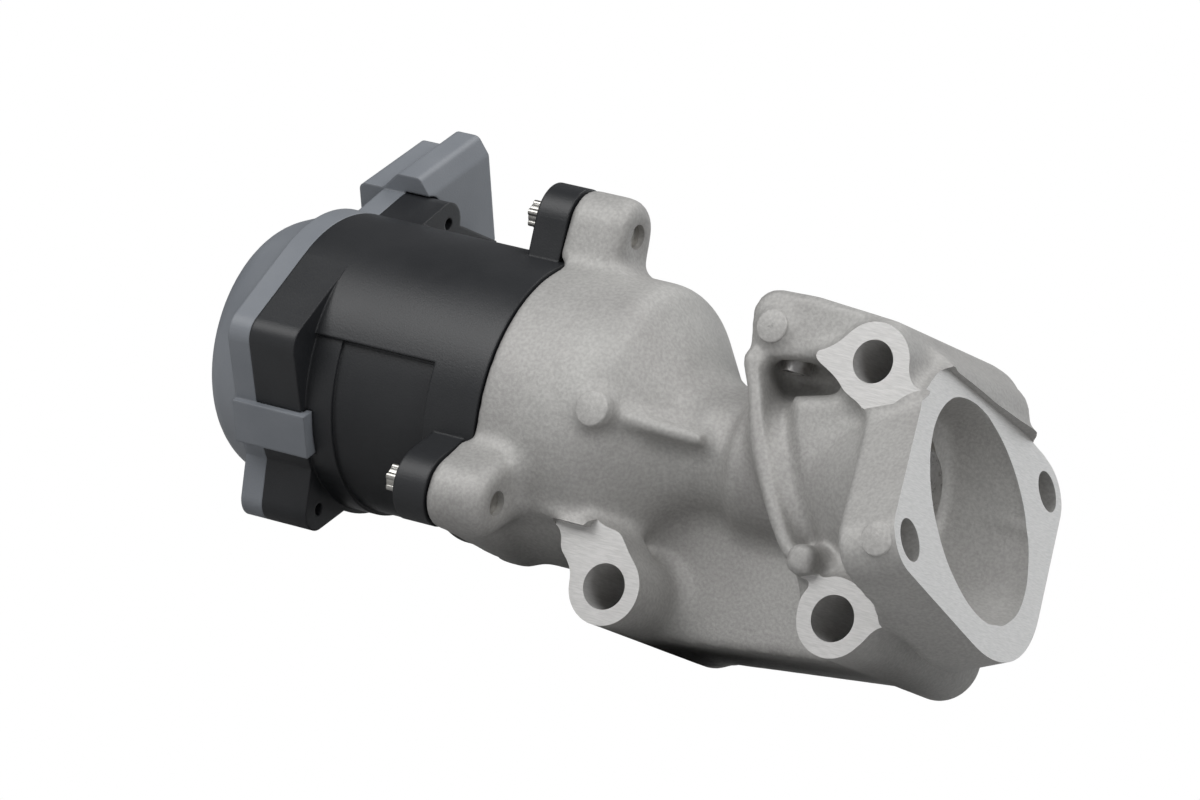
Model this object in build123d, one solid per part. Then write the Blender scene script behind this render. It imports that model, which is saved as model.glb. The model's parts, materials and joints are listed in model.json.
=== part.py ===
"""Exhaust gas recirculation valve: a cast housing with a poppet valve, driven by a coaxial motor.

The model is built round the motor and valve axis, which is X: the end cover is at the low end and
the tilted outlet flange at the high end. Y runs from the bolt heads to the mounting face, Z is up.
On export every piece is moved so that the origin is the centre of the inlet port on that face.
Lengths are millimetres, angles are degrees.
"""

import os
from math import cos, hypot, radians, sin

from build123d import *

# Axial stations of the motor end
JOINT_X = 0.0
FLANGE_FRONT_X = -39.5
FLANGE_BACK_X = -50.0

# Motor housing
BARREL_RADIUS = 29.4
BARREL_WALL = 3.1
BARREL_BORE = BARREL_RADIUS - BARREL_WALL
RECESS_DEPTH = 1.6
RECESS_ANGLES = (177.0, 305.0)
RECESS_END_X = -11.5
COLLAR_RADIUS = BARREL_RADIUS - 0.9
COLLAR_END_X = -33.4
STATOR_STOP_X = -14.0
STOP_STEP = 1.3
BULKHEAD_BACK_X = -5.0
BULKHEAD_FRONT_X = -1.0
BULKHEAD_HOLE = 10.6
SPIGOT_LENGTH = 4.5
SPIGOT_WALL = 3.6
SPIGOT_CLEARANCE = 0.15
LOBE_RADIUS = 4.4
SCREW_LOBE_REACH = BARREL_RADIUS + 3.1
SCREW_LOBE_ROOT = BARREL_RADIUS - 6.1
PLAIN_LOBE_REACH = BARREL_RADIUS + 1.9
SCREW_LOBE_ANGLES = (76.2, 251.2)
PLAIN_LOBE_ANGLES = (2.2, 182.2)

# End cover
COVER_RIM = 5.0
DOME_DEPTH = 12.6
DOME_RADIUS = BARREL_RADIUS - 0.8
DOME_FLAT_RADIUS = BARREL_RADIUS - 9.9
DOME_SHOULDER = DOME_FLAT_RADIUS + 4.0
DOME_ROUNDING = 9.0
COVER_WALL = 2.5

# Ears that join the motor housing to the valve housing
EAR_REACH = BARREL_RADIUS + 7.1
EAR_ROOT = BARREL_RADIUS - 7.4
EAR_ANGLES = (97.0, 217.0, 337.0)
EAR_RADIUS = 7.2
EAR_FOOT = 1.2
CHIN_X = 6.4
CHIN_CENTRE = (-1.0, 5.3 - BARREL_RADIUS)
EAR_STEP = 2.0
PLASTIC_EAR = 7.0
METAL_EAR_END = 10.4
EAR_ROUNDING = 3.5
SLEEVE_WALL = 0.9

# Fasteners
EAR_SCREW_RADIUS = 2.5
SCREW_CLEARANCE = 0.2
EAR_HEAD_HEIGHT = 4.6
EAR_HEAD_RADIUS = 2.95
EAR_HEAD_FLANGE = 4.3
HEAD_FLANGE_HEIGHT = 0.9
HEAD_LOBES = 6
COVER_SCREW_RADIUS = 1.75
COVER_SCREW_LENGTH = 8.0
COVER_HEAD_RADIUS = 3.0
HEAD_SOCKET = 1.5
COVER_HEAD_HEIGHT = 2.4
PILOT_RADIUS = 1.25

# Snap clips of the cover
CLIP_ANGLES = (217.0, 37.0)
CLIP_WIDTH = 9.2
CLIP_THICKNESS = 2.0
CLIP_HOOK = 1.3
CLIP_SEAT = BARREL_RADIUS - 0.7
CLIP_GAP = 0.2

# Connector, on the cover: it runs along a line that leans back from Z by the tilt. Its outline is in
# X and in lift, the height above the plane that holds that line and the motor axis
CONNECTOR_TILT = 53.7
CONNECTOR_START = BARREL_RADIUS - 3.6
CONNECTOR_REACH = BARREL_RADIUS + 18.2
CONNECTOR_X = (-61.2, -44.2)
CONNECTOR_LIFT = (5.0, 25.4)
RAIL_X = (-55.4, -51.6, -46.4)
RAIL_LIFT = 29.2
CONNECTOR_CORNER = 1.6
SOCKET_WALL = 2.0
SOCKET_DEPTH = 0.64 * (CONNECTOR_REACH - CONNECTOR_START)
PIN_COLUMNS = 3
PIN_PITCH = (4.0, 5.0)
PIN_SIDE = 0.8
PIN_LENGTH = 0.64 * SOCKET_DEPTH
PIN_ROOT = 2.5
BARREL_GAP = 0.4
CONNECTOR_SHELF = ((5.0, 20.0), (12.0, 32.3), (27.5, 32.3), (29.0, 30.5), (25.0, 14.0))
SHELF_THICKNESS = 3.0

# Rotor, stator and bearings
BEARING_BORE = 8.5
BEARING_RADIUS = 13.0
BEARING_WIDTH = 5.0
RING_WALL = 1.2
BALL_RADIUS = 1.6
BALL_COUNT = 7
GROOVE_CLEARANCE = 0.15
FRONT_BEARING_X = -11.0
REAR_BEARING_X = -61.0
HUB_WALL = 2.5
SLEEVE_RADIUS = 11.0
SLEEVE_BODY = (-45.0, -13.0)
SLEEVE_BORE = 5.2
NUT_RADIUS = 7.0
NUT_SPAN = (-34.0, -18.0)
YOKE_INNER = BARREL_BORE - 4.3
MAGNET_RADIUS = YOKE_INNER - 6.8
AIR_GAP = 0.6
STATOR_LENGTH = 26.0
STATOR_FIT = 0.1
TOOTH_COUNT = 6
TOOTH_WIDTH = 7.0
COIL_WALL = 2.1
COIL_REACH = (YOKE_INNER - 4.5, YOKE_INNER - 1.0)
COIL_OVERHANG = 2.8
COIL_ROUNDING = 1.8
INSULATION_GAP = 0.1
SHOE_THICKNESS = 1.3
SHOE_WIDTH = 11.5
TERMINAL_RING = (BARREL_BORE - 9.9, BARREL_BORE - 0.7)
TERMINAL_REACH = BARREL_BORE - 5.8
TERMINAL_POST = 1.6
TERMINAL_RING_HEIGHT = 2.4
SENSOR_RING_WIDTH = 3.0
SENSOR_RING_RADIUS = 13.0
BOARD_RADIUS = BARREL_BORE - 2.7
BOARD_BORE = BOARD_RADIUS - 7.2
BOARD_THICKNESS = 1.6
SENSOR_SIZE = (1.3, 3.0, 4.0)
SENSOR_COUNT = 3
WASHER_THICKNESS = 0.5

# Lead screw and guide
LEAD = 9.0
LIFT = 6.5
SCREW_RADIUS = 4.0
RUNNING_FIT = 0.05
FLAT_HALF = 3.0
FLAT_FIT = 0.08
GUIDE_THICKNESS = 3.0
GUIDE_PLATE = 1.5
GUIDE_HUB_RADIUS = 9.0
SCREW_BACK_X = -50.0
STEM_TOP_X = 9.0

# Valve housing: cup, neck and chamber
SHOULDER_X = 23.2
SHOULDER_FOOT = (34.6, 16.0)
SHOULDER_ROUNDING = 7.0
CUP_BORE = BARREL_RADIUS - 3.5
CUP_BORE_END_X = 22.2
CUP_FLOOR_X = 31.0
CUP_FLOOR_RADIUS = 15.6
CUP_FLOOR_FILLET = 2.5
NECK_START_X = 39.5
NECK_RADIUS = 13.0
NECK_RIB = ((24.0, 27.6), (42.4, 16.9), (42.4, 11.0), (24.0, 11.0))
NECK_RIB_WIDTH = 2.9
CHAMBER_X = 51.0
CHAMBER_RADIUS = 12.0
CHAMBER_WALL = 3.0
GUIDE_BOSS_RADIUS = 8.0
GUIDE_BOSS_END = 57.0

# Valve
STEM_RADIUS = 3.0
GUIDE_BUSH_RADIUS = 5.5
GUIDE_BUSH_START = 36.5
BUSH_NOSE = 1.5
SEAL_RADIUS = 8.0
SHIELD_RADIUS = 7.0
SHIELD_THICKNESS = 0.8
SEAT_X = (72.0, 78.5)
SEAT_RADIUS = 13.2
SEAT_BORE = 8.4
SEAT_MOUTH = 10.4
POPPET_RADIUS = 10.2
POPPET_THICKNESS = 2.6
SEAT_LAND = 0.05
SPRING_LENGTH = 16.0
SPRING_WIRE = 1.8
SPRING_MEAN_RADIUS = 10.4
SPRING_TURNS = 4.0
SPRING_SEAT = 1.2
RETAINER_THICKNESS = 1.5
RETAINER_RADIUS = 12.4
CLIP_RING = 1.3

# Outlet flange, tilted from X towards Z
OUTLET_CENTRE = (95.4, 0.0, -0.25)
OUTLET_TILT = 23.2
OUTLET_BORE = 22.4
OUTLET_THICKNESS = 12.0
OUTLET_RADIUS = 28.2
OUTLET_HOLE_REACH = 35.6
OUTLET_HOLE_ANGLE = 17.3
OUTLET_HOLE = 4.1
OUTLET_LOBE = 6.7
OUTLET_NECK = 24.6
OUTLET_CHAMBER = 17.0

# Mounting face, inlet port and through bosses: x, z and hole radius of each boss
MOUNT_Y = 29.0
MOUNT_THICKNESS = 8.0
INLET_X = 61.5
INLET_RADIUS = 10.2
INLET_WALL = 5.0
INLET_END_Y = 9.0
BOSS_FACE_Y = -20.0
BOSSES = {"top": (75.1, 21.7, 4.2), "left": (32.4, -31.8, 4.5), "right": (81.3, -26.9, 4.5)}
BOSS_RADIUS = 7.6
BOSS_FOOT = 8.5
BOSS_TIPS = {
    "top": ((70.5, 15.2), (77.9, 12.2), (82.6, 15.6), (84.3, 18.6), (80.0, 24.0)),
    "top_tab": ((70.0, 26.0), (64.9, 21.8), (61.5, 20.6), (68.0, 17.5)),
    "right": ((86.0, -20.9), (88.9, -21.6), (91.4, -24.3), (88.6, -30.0), (82.0, -26.0)),
    "left": ((19.5, -21.4), (23.0, -21.7), (27.6, -20.6), (32.7, -21.0), (37.0, -26.0), (31.0, -31.0),
             (24.0, -29.2), (21.9, -27.6), (20.6, -26.3), (21.4, -23.9)),
}
TIP_DEPTH = 11.0
WEB_Y = -16.5
WEB = ((47.3, 17.9), (44.0, 31.4), (58.0, 31.8), (78.0, 30.4), (81.0, 22.0), (72.0, 18.5), (64.4, 20.4),
       (55.0, 18.8))
WEB_CORNER = 4.8
WEB_END_CORNER = 4.0
POCKET = ((48.6, 80.0), (8.0, 22.0))
POCKET_Y = -5.0
SHELF_Y = -9.0
SHELF_END = (80.0, 20.0)
LOWER_WALL_Y = -3.0
LOWER_WALL = ((38.0, -32.3, 6.2), (81.0, -27.0, 6.8), (35.0, -16.0, 2.6), (56.0, -17.0, 3.0))
PLATE_CORNERS = {"top": 7.6, "left": 6.0, "right": 6.6}
PLATE_SHOULDER = (52.4, 24.0, 6.9)
RIB_Y = -18.0
RIB_WIDTH = 3.0
RIB_PATH = ((47.7, 18.4), (48.8, 15.6), (50.3, 12.8), (52.1, 8.2), (55.6, 0.2), (60.2, -7.6), (65.4, -14.6),
            (68.4, -17.6))
BELLY_Y = -16.4
BELLY_ROUNDING = 1.8
BELLY = ((57.4, 12.4), (59.7, 5.0), (63.0, -1.6), (66.9, -6.9), (71.4, -12.6), (76.0, -14.6), (88.0, -10.0),
         (80.0, 14.0), (67.8, 14.9))
PADS = {
    "rib": (72.5, -17.7, 3.15, -20.0),
    "lobe": (51.2, 24.1, 3.3, -18.2),
    "cup": (24.8, 0.0, 3.5, -29.9),
    "flange": (89.5, -11.0, 3.3, -29.2),
}
NUB = (80.4, -4.9, 0.8, -24.0)
PLUG = (54.6, -10.0, 3.0)
PLUG_DEPTH = 3.5
PLUG_Z = 17.0

# Seals and sleeves
SEAL_SECTION = 1.0
SEAL_FIT = 0.05
SEAL_GROOVE = CUP_BORE - 2 * SEAL_SECTION
SEAL_MIDDLE_X = JOINT_X + SPIGOT_LENGTH / 2
SEAL_SPAN = (SEAL_MIDDLE_X - SEAL_SECTION - SEAL_FIT, SEAL_MIDDLE_X + SEAL_SECTION + SEAL_FIT)
SLEEVE_INNER = EAR_SCREW_RADIUS + SCREW_CLEARANCE
SLEEVE_OUTER = SLEEVE_INNER + SLEEVE_WALL

# Sizes that follow from those above
COVER_BACK_X = FLANGE_BACK_X - COVER_RIM
DOME_END_X = COVER_BACK_X - DOME_DEPTH
BOARD_FRONT_X = FLANGE_BACK_X + 0.1
EAR_FACE_X = JOINT_X - EAR_STEP
PLASTIC_EAR_X = EAR_FACE_X - PLASTIC_EAR
SPIGOT_RADIUS = CUP_BORE - SPIGOT_CLEARANCE
GUIDE_BUSH_END = GUIDE_BOSS_END + BUSH_NOSE
SEAT_CONE_X = SEAT_X[1] - (SEAT_MOUTH - SEAT_BORE)
SPRING_END_X = CUP_FLOOR_X - SPRING_SEAT
SPRING_START_X = SPRING_END_X - SPRING_LENGTH
RETAINER_X = SPRING_START_X - RETAINER_THICKNESS
OUTLET_PLANE = Plane(
    origin=OUTLET_CENTRE,
    x_dir=(0, 1, 0),
    z_dir=(cos(radians(OUTLET_TILT)), 0, sin(radians(OUTLET_TILT))),
)
CENTRE = (Align.CENTER,) * 2


def tube(radius, start, end, y=0.0, z=0.0):
    """Solid cylinder along X from start to end."""
    return Pos(start, y, z) * Rot(0, 90, 0) * Cylinder(radius, end - start, align=(*CENTRE, Align.MIN))


def ring(outer, inner, start, end):
    """Plain ring round the X axis."""
    return tube(outer, start, end) - tube(inner, start - 1, end + 1)


def pole(radius, start, end, x, z, far_radius=None):
    """Solid cylinder, or cone, along Y from start to end."""
    stock = Cone(radius, far_radius, end - start) if far_radius else Cylinder(radius, end - start)
    return Pos(x, (start + end) / 2, z) * Rot(-90, 0, 0) * stock


def polar(reach, angle):
    """Y and Z of a point at a reach and angle round the X axis."""
    return reach * cos(radians(angle)), reach * sin(radians(angle))


def hull(circles):
    """Outline of the hull of circles, each given as two coordinates and a radius."""
    edges = [edge for a, b, radius in circles for edge in (Pos(a, b) * Circle(radius)).edges()]
    return make_hull(edges)


def plate_x(outline, start, end):
    """Outline in Y and Z, extruded along X."""
    return Pos(start, 0, 0) * extrude(Plane.YZ * outline, end - start, dir=(1, 0, 0))


def plate_y(outline, start, end):
    """Outline in X and Z, extruded along Y."""
    return Pos(0, start, 0) * extrude(Plane.XZ * outline, end - start, dir=(0, 1, 0))


def behind(plane, outline, depth):
    """Outline on a plane, extruded against the plane's normal."""
    return extrude(plane * outline, depth, dir=-plane.z_dir)


def across_axis(x):
    """Plane across the X axis, with its local x along Y."""
    return Plane(origin=(x, 0, 0), x_dir=(0, 1, 0), z_dir=(1, 0, 0))


def rounded(outline, place, radius):
    """Outline with its corner nearest to a place rounded."""
    corner = outline.vertices().sort_by_distance((*place, 0))[0]
    return fillet(corner, radius)


def turned(points, radii=()):
    """Solid of revolution round X, from points of x and radius; radii round the listed corners."""
    outline = Polygon(*points, align=None)
    for corner, size in radii:
        outline = rounded(outline, corner, size)
    return revolve(Plane.XY * outline, Axis.X)


def box(x, y, z):
    """Box from three pairs of limits."""
    low = Pos(x[0], y[0], z[0])
    return low * Box(x[1] - x[0], y[1] - y[0], z[1] - z[0], align=(Align.MIN,) * 3)


def lobed_outline(grow=0.0):
    """Barrel circle with two screw lobes and two plain lobes, each blended in by tangent lines."""
    lobes = [(SCREW_LOBE_REACH, angle, SCREW_LOBE_ROOT) for angle in SCREW_LOBE_ANGLES]
    lobes += [(PLAIN_LOBE_REACH, angle, BARREL_RADIUS) for angle in PLAIN_LOBE_ANGLES]
    outline = Sketch() + Circle(BARREL_RADIUS + grow)
    for reach, angle, root in lobes:
        y, z = polar(reach, angle)
        outline += hull([(0, 0, root + grow), (y, z, LOBE_RADIUS + grow)])
    return outline


def connector_shelf():
    """Part of the flange that stands under the connector."""
    return Polygon(*CONNECTOR_SHELF, align=None)


def sector(radius, start, end, angles):
    """Pie slice round the X axis between two angles."""
    first, last = angles
    tip = polar(radius * 1.4, (first + last) / 2)
    slice_outline = Polygon((0, 0), polar(radius, first), tip, polar(radius, last), align=None)
    return plate_x(slice_outline, start, end)


def clip_seat(angle, lift, depth, width, start, end):
    """Block whose inner face lies at a lift above the clip seat of the flange."""
    low = CLIP_SEAT + lift
    return Rot(angle, 0, 0) * box((start, end), (low, low + depth), (-width / 2, width / 2))


def ear_outline(foot=0.0):
    """Ear along Y, from inside the barrel to its round end; the foot widens it at the barrel."""
    return hull([(EAR_REACH, 0, EAR_RADIUS), (EAR_ROOT - foot, 0, EAR_RADIUS + foot)])


def motor_housing():
    body = tube(BARREL_RADIUS, FLANGE_BACK_X, JOINT_X)
    recess = ring(BARREL_RADIUS + 1, BARREL_RADIUS - RECESS_DEPTH, FLANGE_FRONT_X, RECESS_END_X)
    body -= recess & sector(BARREL_RADIUS * 2.2, FLANGE_FRONT_X, RECESS_END_X, RECESS_ANGLES)
    body += tube(COLLAR_RADIUS, FLANGE_FRONT_X, COLLAR_END_X)
    body += plate_x(lobed_outline() + connector_shelf(), FLANGE_FRONT_X - SHELF_THICKNESS, FLANGE_FRONT_X)
    body += plate_x(lobed_outline(), FLANGE_BACK_X, FLANGE_FRONT_X)
    for angle in EAR_ANGLES:
        body += Rot(angle, 0, 0) * plate_x(ear_outline(), PLASTIC_EAR_X, EAR_FACE_X)
    body += tube(SPIGOT_RADIUS, JOINT_X - 1, JOINT_X + SPIGOT_LENGTH)
    body -= tube(BARREL_BORE, FLANGE_BACK_X - 1, STATOR_STOP_X)
    body -= tube(BARREL_BORE - STOP_STEP, STATOR_STOP_X - 1, BULKHEAD_BACK_X)
    body -= tube(SPIGOT_RADIUS - SPIGOT_WALL, BULKHEAD_FRONT_X, JOINT_X + SPIGOT_LENGTH + 1)
    body += tube(BEARING_RADIUS + HUB_WALL, FRONT_BEARING_X, BULKHEAD_BACK_X)
    body -= tube(BEARING_RADIUS, FRONT_BEARING_X - 1, FRONT_BEARING_X + BEARING_WIDTH)
    body -= tube(BULKHEAD_HOLE, FRONT_BEARING_X - 1, BULKHEAD_FRONT_X + 1)
    body -= ring(SPIGOT_RADIUS + 1, SEAL_GROOVE, *SEAL_SPAN)
    for angle in EAR_ANGLES:
        y, z = polar(EAR_REACH, angle)
        body -= tube(SLEEVE_OUTER, PLASTIC_EAR_X - 1, EAR_FACE_X + 1, y, z)
    for angle in SCREW_LOBE_ANGLES:
        y, z = polar(SCREW_LOBE_REACH, angle)
        body -= tube(PILOT_RADIUS, FLANGE_BACK_X - 1, FLANGE_FRONT_X + 1, y, z)
        body -= tube(COVER_SCREW_RADIUS, FLANGE_BACK_X - 1, FLANGE_BACK_X + COVER_SCREW_LENGTH, y, z)
    for angle in CLIP_ANGLES:
        body -= clip_seat(angle, 0, 9, CLIP_WIDTH + 2 * CLIP_GAP, FLANGE_BACK_X - 1, FLANGE_FRONT_X + 0.5)
        hook_end = FLANGE_FRONT_X + CLIP_HOOK + 2 * CLIP_GAP
        body -= clip_seat(angle, -CLIP_HOOK, 9, CLIP_WIDTH + 2 * CLIP_GAP, FLANGE_FRONT_X, hook_end)
    groove_end = FLANGE_BACK_X + SEAL_SECTION * 1.5
    body -= ring(BARREL_BORE + SEAL_SECTION * 1.6, BARREL_BORE - 1, FLANGE_BACK_X - 1, groove_end)
    return body


def ear_sleeves():
    return [
        Pos(0, *polar(EAR_REACH, angle)) * ring(SLEEVE_OUTER, SLEEVE_INNER, PLASTIC_EAR_X, EAR_FACE_X)
        for angle in EAR_ANGLES
    ]


def lobed_head(radius, start, end):
    """Screw head with rounded lobes and hollows."""
    head = tube(radius * 0.84, start, end)
    for index in range(HEAD_LOBES):
        y, z = polar(radius * 0.76, index * 360 / HEAD_LOBES)
        head += tube(radius * 0.24, start, end, y, z)
    return head


def ear_screws():
    screws = []
    for angle in EAR_ANGLES:
        flange_x = PLASTIC_EAR_X - HEAD_FLANGE_HEIGHT
        screw = tube(EAR_SCREW_RADIUS, flange_x, METAL_EAR_END - 1.5)
        screw += tube(EAR_HEAD_FLANGE, flange_x, PLASTIC_EAR_X)
        screw += lobed_head(EAR_HEAD_RADIUS, PLASTIC_EAR_X - EAR_HEAD_HEIGHT, flange_x)
        screws.append(Pos(0, *polar(EAR_REACH, angle)) * screw)
    return screws


def connector_plane():
    """Plane across the mouth, with its origin on the motor axis: local y points down and back."""
    out = (0, sin(radians(CONNECTOR_TILT)), cos(radians(CONNECTOR_TILT)))
    return Plane(origin=tuple(CONNECTOR_REACH * value for value in out), x_dir=(1, 0, 0), z_dir=out)


def connector_block():
    near, far = CONNECTOR_X
    low, high = CONNECTOR_LIFT
    corners = [(near, low), (near, high), (RAIL_X[0], high), (RAIL_X[1], RAIL_LIFT), (RAIL_X[2], RAIL_LIFT)]
    corners += [(far, high), (far, low)]
    outline = Polygon(*[(x, -lift) for x, lift in corners], align=None)
    outline = fillet(outline.vertices(), CONNECTOR_CORNER)
    return behind(connector_plane(), outline, CONNECTOR_REACH - CONNECTOR_START)


def socket_cavity():
    low, high = CONNECTOR_LIFT
    width = CONNECTOR_X[1] - CONNECTOR_X[0] - 2 * SOCKET_WALL
    cavity = Pos(*socket_centre()) * RectangleRounded(width, high - low - 2 * SOCKET_WALL, CONNECTOR_CORNER)
    return behind(connector_plane(), cavity, SOCKET_DEPTH)


def socket_centre():
    return sum(CONNECTOR_X) / 2, -sum(CONNECTOR_LIFT) / 2


def pin_places():
    centre = socket_centre()
    return [
        (centre[0] + (column - (PIN_COLUMNS - 1) / 2) * PIN_PITCH[0], centre[1] + side * PIN_PITCH[1] / 2)
        for column in range(PIN_COLUMNS)
        for side in (-1, 1)
    ]


def end_cover():
    dome = turned(
        [
            (COVER_BACK_X + 1, 0),
            (COVER_BACK_X + 1, DOME_RADIUS),
            (COVER_BACK_X, DOME_RADIUS),
            (DOME_END_X, DOME_SHOULDER),
            (DOME_END_X, 0),
        ],
        [((DOME_END_X, DOME_SHOULDER), DOME_ROUNDING)],
    )
    body = plate_x(lobed_outline(), COVER_BACK_X, FLANGE_BACK_X) + dome
    body += connector_block()
    body -= plate_x(lobed_outline(BARREL_GAP) + connector_shelf(), FLANGE_BACK_X, CONNECTOR_X[1] + 5)
    hollow = turned(
        [
            (FLANGE_BACK_X + 1, 0),
            (FLANGE_BACK_X + 1, DOME_RADIUS - COVER_WALL),
            (COVER_BACK_X, DOME_RADIUS - COVER_WALL),
            (DOME_END_X + COVER_WALL, DOME_FLAT_RADIUS),
            (DOME_END_X + COVER_WALL, 0),
        ],
        [((DOME_END_X + COVER_WALL, DOME_FLAT_RADIUS), DOME_ROUNDING - 4)],
    )
    body -= hollow
    hub_end = REAR_BEARING_X + BEARING_WIDTH
    body += tube(BEARING_RADIUS + HUB_WALL, DOME_END_X + COVER_WALL - 1, hub_end)
    body -= tube(BEARING_RADIUS, REAR_BEARING_X - WASHER_THICKNESS, hub_end + 1)
    body -= tube(BEARING_BORE + 1, DOME_END_X + COVER_WALL, hub_end + 1)
    body -= socket_cavity()
    for angle in CLIP_ANGLES:
        hook_start = FLANGE_FRONT_X + CLIP_GAP
        hook_end = hook_start + CLIP_HOOK
        body += clip_seat(angle, CLIP_GAP, CLIP_THICKNESS, CLIP_WIDTH, COVER_BACK_X, hook_end)
        body += clip_seat(angle, CLIP_GAP - CLIP_HOOK, CLIP_THICKNESS, CLIP_WIDTH, hook_start, hook_end)
    for angle in SCREW_LOBE_ANGLES:
        y, z = polar(SCREW_LOBE_REACH, angle)
        body -= tube(COVER_SCREW_RADIUS + SCREW_CLEARANCE, COVER_BACK_X - 1, FLANGE_BACK_X + 1, y, z)
        head_end = COVER_BACK_X + COVER_HEAD_HEIGHT
        body -= tube(COVER_HEAD_RADIUS + SCREW_CLEARANCE, COVER_BACK_X - 1, head_end, y, z)
    for x, y in pin_places():
        body -= behind(connector_plane(), Pos(x, y) * Rectangle(PIN_SIDE, PIN_SIDE), SOCKET_DEPTH + PIN_ROOT)
    return body


def cover_screws():
    screws = []
    head_end = COVER_BACK_X + COVER_HEAD_HEIGHT
    for angle in SCREW_LOBE_ANGLES:
        screw = tube(COVER_SCREW_RADIUS, head_end - 0.5, FLANGE_BACK_X + COVER_SCREW_LENGTH - 0.5)
        screw += tube(COVER_HEAD_RADIUS, COVER_BACK_X, head_end)
        screw -= lobed_head(COVER_HEAD_RADIUS * 0.6, COVER_BACK_X - 1, COVER_BACK_X + HEAD_SOCKET)
        screws.append(Pos(0, *polar(SCREW_LOBE_REACH, angle)) * screw)
    return screws


def cover_seal():
    """Rubber ring in the groove of the housing's open end."""
    x = FLANGE_BACK_X
    return ring(BARREL_BORE + SEAL_SECTION * 1.5, BARREL_BORE + 0.1, x, x + SEAL_SECTION * 1.5)


def housing_seal():
    middle = CUP_BORE - SEAL_SECTION
    return Pos(SEAL_MIDDLE_X, 0, 0) * Rot(0, 90, 0) * Torus(middle, SEAL_SECTION - SEAL_FIT)


def connector_pins():
    pins = []
    for x, y in pin_places():
        place = connector_plane() * Pos(x, y, -SOCKET_DEPTH - PIN_ROOT)
        pin = place * Box(PIN_SIDE, PIN_SIDE, PIN_ROOT + PIN_LENGTH, align=(*CENTRE, Align.MIN))
        pins.append(pin)
    return pins


def bearing_groove(start):
    pitch = (BEARING_BORE + BEARING_RADIUS) / 2
    return Pos(start + BEARING_WIDTH / 2, 0, 0) * Rot(0, 90, 0) * Torus(pitch, BALL_RADIUS + GROOVE_CLEARANCE)


def bearing_outer(start):
    race = ring(BEARING_RADIUS, BEARING_RADIUS - RING_WALL, start, start + BEARING_WIDTH)
    return race - bearing_groove(start)


def bearing_inner(start):
    race = ring(BEARING_BORE + RING_WALL, BEARING_BORE, start, start + BEARING_WIDTH)
    return race - bearing_groove(start)


def bearing_balls(start):
    pitch = (BEARING_BORE + BEARING_RADIUS) / 2
    return [
        Pos(start + BEARING_WIDTH / 2, *polar(pitch, index * 360 / BALL_COUNT)) * Sphere(BALL_RADIUS)
        for index in range(BALL_COUNT)
    ]


def wave_washer():
    end = REAR_BEARING_X
    return ring(BEARING_RADIUS - 0.2, BEARING_RADIUS - 2.2, end - WASHER_THICKNESS, end)


def rotor_sleeve():
    rear_end = REAR_BEARING_X + BEARING_WIDTH
    body = tube(BEARING_BORE, REAR_BEARING_X, FRONT_BEARING_X + BEARING_WIDTH)
    body += tube(BEARING_BORE + 0.8, rear_end, FRONT_BEARING_X)
    body += tube(SLEEVE_RADIUS, *SLEEVE_BODY)
    body -= tube(SLEEVE_BORE, REAR_BEARING_X - 1, 0)
    body -= tube(NUT_RADIUS, *NUT_SPAN)
    return body


def drive_nut():
    return ring(NUT_RADIUS, SCREW_RADIUS + RUNNING_FIT, *NUT_SPAN)


def rotor_magnet():
    middle = STATOR_STOP_X - STATOR_LENGTH / 2
    return ring(MAGNET_RADIUS, SLEEVE_RADIUS, middle - STATOR_LENGTH / 2, middle + STATOR_LENGTH / 2)


def sensor_magnet():
    end = FLANGE_BACK_X + 1.2
    return ring(SENSOR_RING_RADIUS, BEARING_BORE + 0.8, end - SENSOR_RING_WIDTH, end)


def stator_core():
    start = STATOR_STOP_X - STATOR_LENGTH
    inner = MAGNET_RADIUS + AIR_GAP
    core = ring(BARREL_BORE - STATOR_FIT, YOKE_INNER, start, STATOR_STOP_X)
    shoe_ring = ring(inner + SHOE_THICKNESS, inner, start, STATOR_STOP_X)
    for index in range(TOOTH_COUNT):
        turn = Rot(index * 360 / TOOTH_COUNT, 0, 0)
        half = TOOTH_WIDTH / 2
        reach = (inner + SHOE_THICKNESS / 2, YOKE_INNER + 1)
        core += turn * box((start, STATOR_STOP_X), reach, (-half, half))
        shoe = box((start, STATOR_STOP_X), (inner - 4, YOKE_INNER), (-SHOE_WIDTH / 2, SHOE_WIDTH / 2))
        core += (turn * shoe) & shoe_ring
    return core


def stator_coils():
    start = STATOR_STOP_X - STATOR_LENGTH
    coils = []
    for index in range(TOOTH_COUNT):
        half = TOOTH_WIDTH / 2 + INSULATION_GAP
        end_gap = INSULATION_GAP
        core = box((start - end_gap, STATOR_STOP_X + end_gap), (0, YOKE_INNER * 2), (-half, half))
        outer = half + COIL_WALL
        coil = box((start - COIL_OVERHANG, STATOR_STOP_X + COIL_OVERHANG), COIL_REACH, (-outer, outer))
        coil = fillet(coil.edges().filter_by(Axis.Y), COIL_ROUNDING) - core
        coils.append(Rot(index * 360 / TOOTH_COUNT, 0, 0) * coil)
    return coils


def terminal_ring():
    end = STATOR_STOP_X - STATOR_LENGTH - COIL_OVERHANG - INSULATION_GAP
    body = ring(TERMINAL_RING[1], TERMINAL_RING[0], end - TERMINAL_RING_HEIGHT, end)
    for index in range(3):
        y, z = polar(TERMINAL_REACH, 30 + index * 120)
        body += tube(TERMINAL_POST, BOARD_FRONT_X, end - 0.5, y, z)
    return body


def circuit_board():
    return ring(BOARD_RADIUS, BOARD_BORE, BOARD_FRONT_X - BOARD_THICKNESS, BOARD_FRONT_X)


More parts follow.
